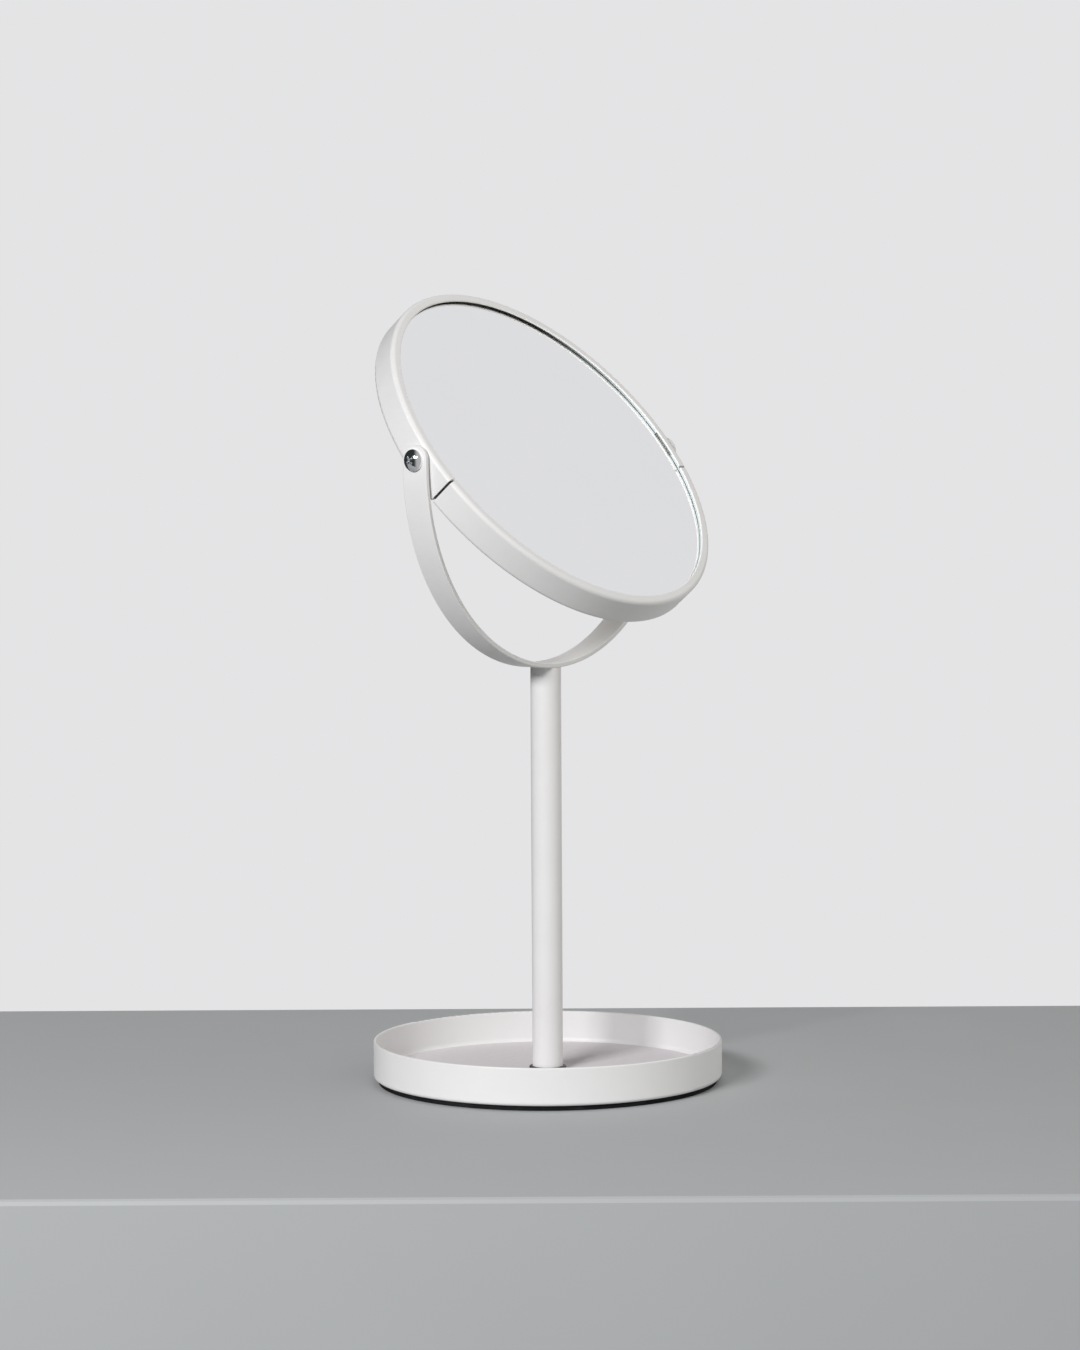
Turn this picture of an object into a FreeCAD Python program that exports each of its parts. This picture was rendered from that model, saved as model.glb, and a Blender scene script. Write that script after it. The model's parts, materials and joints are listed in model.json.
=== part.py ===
import FreeCAD, Part
import math
import os
import re
import Sketcher

# Round table mirror: a two-faced mirror that tilts in a half-ring yoke on a tray foot.
# Frame: +Z up, origin at the centre of the foot's resting face. The tilt axis runs along X at
# pivot_height; the plain mirror faces -Y and looks up by mirror_tilt. Lengths are in millimetres
# and angles in degrees.

SIZES = (
    # foot
    ("tray_radius", 72.5, "outside of the tray's wall"),
    ("tray_height", 15.6, "from the tray's underside to its rim"),
    ("tray_sheet", 1.2, "steel strip of the tray's wall"),
    ("floor_thickness", 1.8, "steel disc of the tray's floor"),
    ("tray_corner", 1.5, "outside rounding between floor and wall"),
    ("tray_cove", 2.3, "inside cove between floor and wall"),
    ("mat_thickness", 0.8, "liner on the tray's floor"),
    ("mat_edge_round", 0.3, "rounding of the liner's edges"),
    ("pad_thickness", 2.0, "non-slip pad under the tray"),
    ("pad_setback", 2.0, "from the tray's wall in to the pad's edge"),
    ("base_screw_radius", 3.0, "thread of the screw that holds the stem down"),
    ("base_head_radius", 7.5, "its flat head"),
    ("base_head_height", 1.5, "thickness of the flat head"),
    ("base_screw_reach", 14.0, "how far its thread enters the stem's lower plug"),
    ("hex_recess_radius", 2.3, "corner radius of its hexagon recess"),
    ("hex_recess_depth", 1.8, "depth of its hexagon recess"),
    ("screw_hole_clearance", 0.2, "radial room round a screw in a plain hole"),
    ("head_clearance", 1.0, "radial room round the flat head in the pad"),
    # stem
    ("stem_radius", 6.35, "outside of the stem's tube"),
    ("stem_wall", 1.2, "wall of the stem's tube"),
    ("spacer_flange", 1.35, "how far the spacer stands out past the stem"),
    ("spacer_rise", 1.6, "how far the spacer stands above the liner"),
    ("spacer_round", 0.5, "rounding of the spacer's upper edge"),
    ("spacer_room", 0.3, "between the spacer and the hole in the liner"),
    ("plug_length", 18.0, "each threaded plug in the stem"),
    ("plug_chamfer", 0.6, "lead-in of each plug"),
    ("plug_recess", 1.0, "from the stem's upper end down to the upper plug"),
    ("bore_margin", 1.0, "how far a plug's bore runs on past its screw"),
    # yoke
    ("strip_width", 12.0, "flat bar of the yoke, front to back"),
    ("strip_thickness", 2.0, "flat bar of the yoke"),
    ("strip_edge_round", 0.45, "rounding of the bar's long edges"),
    ("arm_tip_round", 5.8, "corner radius of the arms' upper ends"),
    ("arm_tip_rise", 6.0, "from the tilt axis to the tip of each arm"),
    ("yoke_drop", 2.6, "how far the half ring's centre lies under the tilt axis"),
    ("yoke_screw_radius", 2.0, "thread of the screw that holds the yoke"),
    ("yoke_head_radius", 3.8, "its countersunk head"),
    ("yoke_head_cone", 1.7, "depth of its countersink"),
    ("yoke_screw_reach", 9.0, "how far its thread enters the stem's upper plug"),
    # mirror head
    ("pivot_height", 260.0, "tilt axis above the resting face"),
    ("mirror_tilt", 39.65, "how far the plain mirror looks up"),
    ("ring_radius", 82.2, "outside of the rolled ring"),
    ("ring_sheet", 1.0, "steel of the rolled ring"),
    ("ring_corner", 1.7, "outside radius between the ring's band and its lips"),
    ("lip_overlap", 1.35, "how far each lip covers its glass"),
    ("seam_gap", 1.1, "open joint between the ring's two arcs"),
    ("seam_angle_left", 11.2, "left joint, below the tilt axis"),
    ("seam_angle_right", 9.8, "right joint, below the tilt axis"),
    ("nut_angle", 8.8, "arc that each nut plate covers"),
    ("nut_thickness", 1.2, "nut plate and joiner in the ring"),
    ("joiner_gap_angle", 0.4, "arc between a joiner and its nut plate"),
    ("glass_edge_room", 0.6, "between the glass and the nut plates"),
    ("glass_thickness", 2.0, "each mirror glass"),
    ("glass_bevel", 0.25, "ground edge of the plain glass"),
    ("gasket_thickness", 0.5, "foam gasket between a glass and its lip"),
    ("gasket_width", 0.9, "foam gasket, radially"),
    ("gasket_setback", 0.15, "from the lip's edge back to the gasket"),
    ("spacer_ring_thickness", 6.2, "ring that holds the two glasses apart"),
    ("spacer_ring_width", 9.0, "the same ring, radially"),
    ("glass_gap", 0.4, "between the glasses at their centre"),
    # pivots
    ("pivot_screw_radius", 2.5, "thread of the pivot screws"),
    ("pivot_head_radius", 4.4, "pan head of the pivot screws"),
    ("pivot_head_side", 1.1, "straight side of the pan head"),
    ("pivot_head_dome", 1.9, "dome of the pan head above its side"),
    ("pivot_tip_setback", 0.1, "from the screw's tip to the nut plate's inner face"),
    ("recess_width", 1.3, "arm of the cross recess"),
    ("recess_length", 5.2, "cross recess from end to end"),
    ("recess_depth", 1.7, "cross recess at its deepest"),
    ("washer_thickness", 0.5, "friction washer between ring and arm"),
    ("washer_radius", 4.4, "outside of the friction washer"),
    ("running_gap", 0.05, "between faces that turn against each other"),
    ("pivot_hole_clearance", 0.08, "radial room round a pivot screw"),
)

# Sizes that follow from the driving ones.
DERIVED = {
    "tray_floor": "pad_thickness + floor_thickness",
    "corner_start": "tray_radius - tray_corner",
    "inner_wall": "tray_radius - tray_sheet",
    "cove_start": "inner_wall - tray_cove",
    "mat_top": "tray_floor + mat_thickness",
    "mat_radius": "cove_start + mat_edge_round",
    "spacer_radius": "stem_radius + spacer_flange",
    "base_hole_radius": "base_screw_radius + screw_hole_clearance",
    "stem_foot": "mat_top + spacer_rise",
    "stem_bore": "stem_radius - stem_wall",
    "base_head_bottom": "pad_thickness - base_head_height",
    "base_screw_tip": "stem_foot + base_screw_reach",
    "band_inner": "ring_radius - ring_sheet",
    "nut_radius": "band_inner - nut_thickness",
    "glass_radius": "nut_radius - glass_edge_room",
    "lip_radius": "glass_radius - lip_overlap",
    "half_stack": "glass_thickness + gasket_thickness + spacer_ring_thickness / 2",
    "half_depth": "half_stack + ring_sheet",
    "glass_back": "spacer_ring_thickness / 2",
    "glass_front": "glass_back + glass_thickness",
    "magnifier_sag": "spacer_ring_thickness - glass_gap",
    "magnifier_curve": "(glass_radius ^ 2 + magnifier_sag ^ 2) / (2 * magnifier_sag)",
    "spacer_ring_inner": "glass_radius - spacer_ring_width",
    "curve_drop": "magnifier_curve - sqrt(magnifier_curve ^ 2 - spacer_ring_inner ^ 2)",
    "gasket_inner": "lip_radius + gasket_setback",
    "washer_outer": "ring_radius + washer_thickness",
    "arm_inner": "washer_outer + running_gap",
    "arm_outer": "arm_inner + strip_thickness",
    "pivot_hole_radius": "pivot_screw_radius + pivot_hole_clearance",
    "pivot_head_seat": "arm_outer + running_gap",
    "pivot_head_edge": "pivot_head_seat + pivot_head_side",
    "pivot_head_top": "pivot_head_edge + pivot_head_dome",
    "pivot_screw_tip": "nut_radius + pivot_tip_setback",
    "yoke_centre": "pivot_height - yoke_drop",
    "yoke_top": "yoke_centre - arm_inner",
    "yoke_bottom": "yoke_centre - arm_outer",
    "arm_tip": "pivot_height + arm_tip_rise",
    "plug_top": "yoke_bottom - plug_recess",
    "yoke_screw_tip": "plug_top - yoke_screw_reach",
    "seam_half_angle": "seam_gap / ring_radius * 90 / pi",
    "upper_arc_start": "seam_half_angle - seam_angle_right",
    "upper_arc": "180 + seam_angle_left + seam_angle_right - 2 * seam_half_angle",
    "lower_arc_start": "180 + seam_angle_left + seam_half_angle",
    "lower_arc": "180 - seam_angle_left - seam_angle_right - 2 * seam_half_angle",
    "joiner_half_left": "seam_angle_left - nut_angle / 2 - joiner_gap_angle",
    "joiner_half_right": "seam_angle_right - nut_angle / 2 - joiner_gap_angle",
}

DOC = FreeCAD.newDocument("table_mirror")
ORIGIN = (-1, 1)
SAME = 1e-4


def fill_sheet():
    """Spreadsheet with one row for each driving dimension: name, value and meaning."""
    sheet = DOC.addObject("Spreadsheet::Sheet", "Sizes")
    for row, (alias, value, meaning) in enumerate(SIZES, start=1):
        sheet.set(f"A{row}", alias)
        sheet.set(f"B{row}", str(value))
        sheet.set(f"C{row}", meaning)
        sheet.setAlias(f"B{row}", alias)
    DOC.recompute()
    return sheet


SHEET = fill_sheet()
DRIVING = {alias for alias, _, _ in SIZES}


def formula(text):
    """Spell a formula of size names as an expression on the sheet's cells."""
    def spell(match):
        word = match.group(0)
        if word in DERIVED:
            return f"({formula(DERIVED[word])})"
        return f"Sizes.{word}" if word in DRIVING else word
    return re.sub(r"[a-z_]+", spell, text)


def measure(text):
    """The present value of a formula, as a number."""
    return float(SHEET.evalExpression(formula(text)))


def new_body(label, in_head=False):
    """An empty body; the mirror head's bodies are built in the tilting frame."""
    body = DOC.addObject("PartDesign::Body", label)
    body.Label = label
    if in_head:
        turn = f"create(<<rotation>>; create(<<vector>>; 1; 0; 0); 90 - {formula('mirror_tilt')})"
        seat = f"create(<<vector>>; 0; 0; {formula('pivot_height')})"
        body.setExpression("Placement", f"create(<<placement>>; {seat}; {turn})")
    return body


def datum(body, role):
    """One of the body's own origin planes or axes."""
    return next(item for item in body.Origin.OriginFeatures if item.Role == role)


def new_sketch(body, name, plane, offset="0", turn="0"):
    """Sketch on an origin plane, moved off it by `offset` or turned about its own upright."""
    sketch = body.newObject("Sketcher::SketchObject", name)
    sketch.AttachmentSupport = [(datum(body, plane), "")]
    sketch.MapMode = "FlatFace"
    if offset != "0":
        sketch.setExpression("AttachmentOffset.Base.z", formula(offset))
    if turn != "0":
        sketch.AttachmentOffset = FreeCAD.Placement(
            FreeCAD.Vector(), FreeCAD.Rotation(FreeCAD.Vector(0, 1, 0), measure(turn)))
        sketch.setExpression("AttachmentOffset.Rotation.Angle", formula(turn))
    return sketch


def pin(sketch, point, along, text):
    """Hold one coordinate of a sketch point at a formula; zero puts it on the axis.

    A sketch numbers its level axis -1 and its upright axis -2.
    """
    if text == "0":
        axis = -2 if along == "X" else -1
        sketch.addConstraint(Sketcher.Constraint("PointOnObject", *point, axis))
        return
    index = sketch.addConstraint(
        Sketcher.Constraint("Distance" + along, *ORIGIN, *point, measure(text)))
    sketch.setExpression(f"Constraints[{index}]", formula(text))


def add_circle(sketch, radius, across="0", up="0"):
    """Circle with its centre and radius bound to formulas."""
    centre = FreeCAD.Vector(measure(across), measure(up), 0)
    circle = Part.Circle(centre, FreeCAD.Vector(0, 0, 1), measure(radius))
    geometry = sketch.addGeometry(circle, False)
    pin(sketch, (geometry, 3), "X", across)
    pin(sketch, (geometry, 3), "Y", up)
    index = sketch.addConstraint(Sketcher.Constraint("Radius", geometry, measure(radius)))
    sketch.setExpression(f"Constraints[{index}]", formula(radius))


def arc_centre(start, end, along, value):
    """Centre of the arc through two points when one of its coordinates is known."""
    middle = (start + end) * 0.5
    chord = end - start
    if along == "X":
        return FreeCAD.Vector(value, middle.y - (value - middle.x) * chord.x / chord.y, 0)
    return FreeCAD.Vector(middle.x - (value - middle.y) * chord.y / chord.x, value, 0)


def add_side(sketch, start, end, arc):
    """Straight or round side; returns its number and which of its ends is the start."""
    if arc is None:
        return sketch.addGeometry(Part.LineSegment(start, end), False), 1, 2
    along, text, counterclockwise = arc
    centre = arc_centre(start, end, along, measure(text))
    first, last = (start, end) if counterclockwise else (end, start)
    angles = [math.atan2(p.y - centre.y, p.x - centre.x) for p in (first, last)]
    circle = Part.Circle(centre, FreeCAD.Vector(0, 0, 1), (start - centre).Length)
    geometry = sketch.addGeometry(Part.ArcOfCircle(circle, *angles), False)
    ends = (1, 2) if counterclockwise else (2, 1)
    return (geometry, *ends)


def add_outline(sketch, corners, arcs=None):
    """Closed outline. `corners` are (across, up) formulas; `arcs` gives, for the side that
    starts at a corner, one coordinate of its centre and whether it runs counterclockwise."""
    arcs = arcs or {}
    spots = [FreeCAD.Vector(measure(across), measure(up), 0) for across, up in corners]
    sides = [
        add_side(sketch, spot, spots[(number + 1) % len(spots)], arcs.get(number))
        for number, spot in enumerate(spots)
    ]
    for number, (geometry, start, _) in enumerate(sides):
        previous, _, previous_end = sides[number - 1]
        sketch.addConstraint(
            Sketcher.Constraint("Coincident", previous, previous_end, geometry, start))
        pin(sketch, (geometry, start), "X", corners[number][0])
        pin(sketch, (geometry, start), "Y", corners[number][1])
    for number, (along, text, _) in arcs.items():
        pin(sketch, (sides[number][0], 3), along, text)


def pad(body, sketch, length, both_ways=False, name="pad"):
    """Extrude a sketch."""
    feature = body.newObject("PartDesign::Pad", f"{body.Label}_{name}")
    feature.Profile = sketch
    feature.setExpression("Length", formula(length))
    feature.SideType = "Symmetric" if both_ways else "One side"
    DOC.recompute()
    return feature


def revolve(body, sketch, axis="V_Axis", angle="360", name="turned"):
    """Turn a sketch about one of its own axes."""
    feature = body.newObject("PartDesign::Revolution", f"{body.Label}_{name}")
    feature.Profile = sketch
    feature.ReferenceAxis = (sketch, [axis])
    feature.setExpression("Angle", formula(angle))
    DOC.recompute()
    return feature


def must_cut(body, before, name):
    """Stop if a cut took nothing away."""
    if body.Shape.Volume > before - SAME:
        raise RuntimeError(f"{name} cuts nothing")


def pocket_through(body, sketch, name="hole"):
    """Cut a sketch through the body, both ways."""
    before = body.Shape.Volume
    feature = body.newObject("PartDesign::Pocket", f"{body.Label}_{name}")
    feature.Profile = sketch
    feature.Type = "ThroughAll"
    feature.SideType = "Symmetric"
    DOC.recompute()
    must_cut(body, before, feature.Name)
    return feature


def pocket(body, sketch, depth, reverse=False, name="recess"):
    """Cut a sketch to a depth."""
    before = body.Shape.Volume
    feature = body.newObject("PartDesign::Pocket", f"{body.Label}_{name}")
    feature.Profile = sketch
    feature.Reversed = reverse
    feature.setExpression("Length", formula(depth))
    DOC.recompute()
    must_cut(body, before, feature.Name)
    return feature


def groove(body, sketch, name="countersink"):
    """Turn a cut about the sketch's upright axis."""
    before = body.Shape.Volume
    feature = body.newObject("PartDesign::Groove", f"{body.Label}_{name}")
    feature.Profile = sketch
    feature.ReferenceAxis = (sketch, ["V_Axis"])
    feature.Angle = 360
    DOC.recompute()
    must_cut(body, before, feature.Name)
    return feature


def soften(body, kind, size, wanted, name):
    """Fillet or chamfer every edge that `wanted` accepts."""
    tip = body.Tip
    edges = [f"Edge{i}" for i, edge in enumerate(tip.Shape.Edges, start=1) if wanted(edge)]
    feature = body.newObject(f"PartDesign::{kind}", f"{body.Label}_{name}")
    feature.Base = (tip, edges)
    feature.setExpression("Radius" if kind == "Fillet" else "Size", formula(size))
    DOC.recompute()
    return feature


def mirror_across(body, *features):
    """Repeat one side's features on the other side of the YZ plane."""
    twin = body.newObject("PartDesign::Mirrored", f"{body.Label}_twin")
    twin.Originals = list(features)
    twin.MirrorPlane = (datum(body, "YZ_Plane"), [""])
    body.Tip = twin
    DOC.recompute()


def circle_edge_at(height, radius=None):
    """Test for circular edges at a height and, if given, of a radius."""
    def wanted(edge):
        round_edge = isinstance(edge.Curve, Part.Circle)
        level = round_edge and abs(edge.Curve.Center.z - height) < SAME
        return level and (radius is None or abs(edge.Curve.Radius - radius) < SAME)
    return wanted


def disc(label, inner, outer, bottom, thickness, in_head=False):
    """Flat disc or, with an inner radius, a flat ring, standing on `bottom`."""
    body = new_body(label, in_head)
    sketch = new_sketch(body, f"{label}_outline", "XY_Plane", offset=bottom)
    add_circle(sketch, outer)
    if inner:
        add_circle(sketch, inner)
    pad(body, sketch, thickness)
    return body


# ---------------------------------------------------------------- foot

def build_tray():
    """Round tray of a floor disc and a wall strip, welded and coved, with a rounded rim."""
    body = new_body("tray")
    sketch = new_sketch(body, "tray_section", "XZ_Plane")
    rim = "pad_thickness + tray_height - tray_sheet / 2"
    add_outline(
        sketch,
        corners=(
            ("base_hole_radius", "pad_thickness"),
            ("corner_start", "pad_thickness"),
            ("tray_radius", "pad_thickness + tray_corner"),
            ("tray_radius", rim),
            ("inner_wall", rim),
            ("inner_wall", "tray_floor + tray_cove"),
            ("cove_start", "tray_floor"),
            ("base_hole_radius", "tray_floor"),
        ),
        arcs={
            1: ("X", "corner_start", True),
            3: ("Y", rim, True),
            5: ("X", "cove_start", False),
        },
    )
    revolve(body, sketch)


def build_tray_mat():
    """Soft liner on the tray's floor, cut out round the stem's spacer."""
    hole = "spacer_radius + spacer_room"
    body = disc("tray_mat", hole, "mat_radius", "tray_floor", "mat_thickness")
    soften(body, "Fillet", "mat_edge_round", circle_edge_at(measure("mat_top")), "edges")


def build_foot_pad():
    """Non-slip pad, with room in its middle for the base screw's head."""
    hole = "base_head_radius + head_clearance"
    disc("foot_pad", hole, "tray_radius - pad_setback", "0", "pad_thickness")


def build_base_screw():
    """Flat-headed screw from under the tray up into the stem's lower plug."""
    body = new_body("base_screw")
    sketch = new_sketch(body, "base_screw_section", "XZ_Plane")
    add_outline(sketch, corners=(
        ("0", "base_head_bottom"),
        ("base_head_radius", "base_head_bottom"),
        ("base_head_radius", "pad_thickness"),
        ("base_screw_radius", "pad_thickness"),
        ("base_screw_radius", "base_screw_tip"),
        ("0", "base_screw_tip"),
    ))
    revolve(body, sketch)
    hexagon = new_sketch(body, "base_screw_hexagon", "XY_Plane", offset="base_head_bottom")
    half = "hex_recess_radius / 2"
    flat = "hex_recess_radius * sqrt(3) / 2"
    add_outline(hexagon, corners=(
        ("hex_recess_radius", "0"),
        (half, flat),
        (f"-{half}", flat),
        ("-hex_recess_radius", "0"),
        (f"-{half}", f"-{flat}"),
        (half, f"-{flat}"),
    ))
    pocket(body, hexagon, "hex_recess_depth", reverse=True)


def build_foot_spacer():
    """Spacer ring between the tray and the stem, seen as a dark line round the stem's foot."""
    rise = "mat_thickness + spacer_rise"
    body = disc("foot_spacer", "base_hole_radius", "spacer_radius", "tray_floor", rise)
    upper_edge = circle_edge_at(measure("stem_foot"), measure("spacer_radius"))
    soften(body, "Fillet", "spacer_round", upper_edge, "edge")


# ---------------------------------------------------------------- stem

def build_stem_tube():
    """Straight tube, its upper end coped to the underside of the yoke."""
    past_the_cope = "yoke_centre - arm_outer / 2 - stem_foot"
    body = disc("stem_tube", "stem_bore", "stem_radius", "stem_foot", past_the_cope)
    cope = new_sketch(body, "stem_tube_cope", "XZ_Plane")
    add_circle(cope, "arm_outer", up="yoke_centre")
    pocket_through(body, cope, "cope")


def build_plug(label, bottom, bore_radius, bore_from, bore_to, screw_end):
    """Plug pressed into one end of the stem, with a blind bore for a screw."""
    body = disc(label, None, "stem_bore", bottom, "plug_length")
    sketch = new_sketch(body, f"{label}_bore", "XZ_Plane")
    add_outline(sketch, corners=(
        ("0", bore_from),
        (bore_radius, bore_from),
        (bore_radius, bore_to),
        ("0", bore_to),
    ))
    groove(body, sketch, "bore")
    far_end = measure(bottom) if screw_end == "top" else measure(f"{bottom} + plug_length")
    far_edge = circle_edge_at(far_end, measure("stem_bore"))
    soften(body, "Chamfer", "plug_chamfer", far_edge, "lead_in")


def build_stem_plugs():
    """The lower plug takes the base screw, the upper one the yoke's screw."""
    build_plug("stem_plug_lower", "stem_foot", "base_screw_radius",
               "stem_foot", "base_screw_tip + bore_margin", "bottom")
    build_plug("stem_plug_upper", "plug_top - plug_length", "yoke_screw_radius",
               "yoke_screw_tip - bore_margin", "plug_top", "top")


# ---------------------------------------------------------------- yoke

def build_yoke():
    """Half ring of flat bar with short upright arm ends, drilled for its three screws."""
    body = new_body("yoke")
    sketch = new_sketch(body, "yoke_outline", "XZ_Plane")
    add_outline(
        sketch,
        corners=(
            ("-arm_outer", "arm_tip"),
            ("-arm_outer", "yoke_centre"),
            ("arm_outer", "yoke_centre"),
            ("arm_outer", "arm_tip"),
            ("arm_inner", "arm_tip"),
            ("arm_inner", "yoke_centre"),
            ("-arm_inner", "yoke_centre"),
            ("-arm_inner", "arm_tip"),
        ),
        arcs={1: ("Y", "yoke_centre", True), 5: ("Y", "yoke_centre", False)},
    )
    pad(body, sketch, "strip_width", both_ways=True)
    half_width = measure("strip_width") / 2
    thickness = measure("strip_thickness")
    tip = measure("arm_tip")

    def tip_corner(edge):
        centre = edge.CenterOfMass
        return abs(centre.z - tip) < SAME and abs(abs(centre.y) - half_width) < SAME

    def long_edge(edge):
        on_face = all(abs(abs(vertex.Y) - half_width) < SAME for vertex in edge.Vertexes)
        return on_face and edge.Length > thickness + SAME

    soften(body, "Fillet", "arm_tip_round", tip_corner, "tips")
    soften(body, "Fillet", "strip_edge_round", long_edge, "long_edges")
    pivots = new_sketch(body, "yoke_pivot_holes", "YZ_Plane")
    add_circle(pivots, "pivot_hole_radius", up="pivot_height")
    pocket_through(body, pivots, "pivot_holes")
    seat = new_sketch(body, "yoke_screw_seat", "XZ_Plane")
    add_outline(seat, corners=(
        ("0", "yoke_bottom - bore_margin"),
        ("yoke_screw_radius", "yoke_bottom - bore_margin"),
        ("yoke_screw_radius", "yoke_top - yoke_head_cone"),
        ("yoke_head_radius", "yoke_top"),
        ("yoke_head_radius", "yoke_top + bore_margin"),
        ("0", "yoke_top + bore_margin"),
    ))
    groove(body, seat)


def build_yoke_screw():
    """Countersunk screw down through the yoke into the stem's upper plug."""
    body = new_body("yoke_screw")
    sketch = new_sketch(body, "yoke_screw_section", "XZ_Plane")
    add_outline(sketch, corners=(
        ("0", "yoke_screw_tip"),
        ("yoke_screw_radius", "yoke_screw_tip"),
        ("yoke_screw_radius", "yoke_top - yoke_head_cone"),
        ("yoke_head_radius", "yoke_top"),
        ("0", "yoke_top"),
    ))
    revolve(body, sketch)


# ---------------------------------------------------------------- mirror head

def build_ring_arc(label, start, sweep):
    """Arc of the rolled C-channel ring: a band with a rounded lip on each side."""
    body = new_body(label, in_head=True)
    sketch = new_sketch(body, f"{label}_section", "XZ_Plane", turn=start)
    bend = "ring_radius - ring_corner"
    shoulder = "half_depth - ring_corner"
    lip_end = "lip_radius + ring_sheet / 2"
    add_outline(
        sketch,
        corners=(
            (lip_end, "-half_depth"),
            (bend, "-half_depth"),
            ("ring_radius", f"-({shoulder})"),
            ("ring_radius", shoulder),
            (bend, "half_depth"),
            (lip_end, "half_depth"),
            (lip_end, "half_stack"),
            (bend, "half_stack"),
            ("band_inner", shoulder),
            ("band_inner", f"-({shoulder})"),
            (bend, "-half_stack"),
            (lip_end, "-half_stack"),
        ),
        arcs={
            1: ("X", bend, True),
            3: ("X", bend, True),
            5: ("X", lip_end, True),
            7: ("X", bend, False),
            9: ("X", bend, False),
            11: ("X", lip_end, True),
        },
    )
    revolve(body, sketch, angle=sweep)
    return body


def build_ring():
    """The ring's upper arc carries both pivots; the lower arc closes it after glazing."""
    upper = build_ring_arc("ring_upper", "upper_arc_start", "upper_arc")
    holes = new_sketch(upper, "ring_upper_pivot_holes", "YZ_Plane")
    add_circle(holes, "pivot_hole_radius")
    pocket_through(upper, holes, "pivot_holes")
    build_ring_arc("ring_lower", "lower_arc_start", "lower_arc")


def plate_section(body, name, start):
    """Section of a curved plate that lies against the inside of the ring's band."""
    sketch = new_sketch(body, name, "XZ_Plane", turn=start)
    half_width = "half_depth - ring_corner"
    add_outline(sketch, corners=(
        ("nut_radius", f"-({half_width})"),
        ("band_inner", f"-({half_width})"),
        ("band_inner", half_width),
        ("nut_radius", half_width),
    ))
    return sketch


def build_pivot_nuts():
    """Tapped plate inside the ring at each pivot."""
    body = new_body("pivot_nuts", in_head=True)
    section = plate_section(body, "pivot_nuts_section", "-nut_angle / 2")
    turned = revolve(body, section, angle="nut_angle")
    mirror_across(body, turned)
    taps = new_sketch(body, "pivot_nuts_taps", "YZ_Plane")
    add_circle(taps, "pivot_screw_radius")
    pocket_through(body, taps, "taps")


def build_ring_joiners():
    """Plate inside the ring behind each joint of its two arcs."""
    body = new_body("ring_joiners", in_head=True)
    right = plate_section(body, "right_joiner_section", "-seam_angle_right - joiner_half_right")
    revolve(body, right, angle="2 * joiner_half_right", name="right")
    left = plate_section(body, "left_joiner_section", "180 + seam_angle_left - joiner_half_left")
    revolve(body, left, angle="2 * joiner_half_left", name="left")


def build_plain_glass():
    """Flat front mirror."""
    body = disc("mirror_front", None, "glass_radius", "glass_back", "glass_thickness", in_head=True)
    soften(body, "Chamfer", "glass_bevel", circle_edge_at(measure("glass_front")), "bevel")


def build_magnifying_glass():
    """Rear mirror, pressed to a shallow hollow that faces backwards."""
    body = new_body("mirror_back", in_head=True)
    sketch = new_sketch(body, "mirror_back_section", "XZ_Plane")
    add_outline(
        sketch,
        corners=(
            ("0", "magnifier_sag - glass_front"),
            ("glass_radius", "-glass_front"),
            ("glass_radius", "-glass_back"),
            ("0", "magnifier_sag - glass_back"),
        ),
        arcs={0: ("X", "0", False), 2: ("X", "0", True)},
    )
    revolve(body, sketch)


def build_glass_spacer():
    """Ring between the glasses, its rear face following the curve of the rear glass."""
    body = new_body("glass_spacer", in_head=True)
    sketch = new_sketch(body, "glass_spacer_section", "XZ_Plane")
    add_outline(
        sketch,
        corners=(
            ("spacer_ring_inner", "magnifier_sag - curve_drop - glass_back"),
            ("glass_radius", "-glass_back"),
            ("glass_radius", "glass_back"),
            ("spacer_ring_inner", "glass_back"),
        ),
        arcs={0: ("X", "0", False)},
    )
    revolve(body, sketch)


def build_gasket(label, bottom):
    """Foam gasket under one lip, open where the nut plates stand."""
    outer = "gasket_inner + gasket_width"
    body = disc(label, "gasket_inner", outer, bottom, "gasket_thickness", in_head=True)
    gaps = new_sketch(body, f"{label}_gaps", "XY_Plane")
    half_gap = "nut_radius * nut_angle * pi / 360"
    add_outline(gaps, corners=(
        ("-ring_radius", f"-({half_gap})"),
        ("ring_radius", f"-({half_gap})"),
        ("ring_radius", half_gap),
        ("-ring_radius", half_gap),
    ))
    pocket_through(body, gaps, "gaps")


def build_glazing():
    """Two glasses held apart by a ring and bedded on gaskets."""
    build_plain_glass()
    build_magnifying_glass()
    build_glass_spacer()
    build_gasket("gasket_front", "glass_front")
    build_gasket("gasket_back", "-glass_front - gasket_thickness")


# ---------------------------------------------------------------- pivots

def add_cross(sketch, half_width, half_length):
    """Upright cross of two equal bars."""
    signs = ((1, 1), (-1, 1), (-1, -1), (1, -1))
    corners = []
    for across, up in signs:
        inner = (half_width, half_width)
        first = (half_length, half_width)
        last = (half_width, half_length)
        spots = (first, inner, last) if across * up > 0 else (last, inner, first)
        for x, y in spots:
            corners.append((f"{across} * {x}", f"{up} * {y}"))
    add_outline(sketch, corners)


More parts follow.
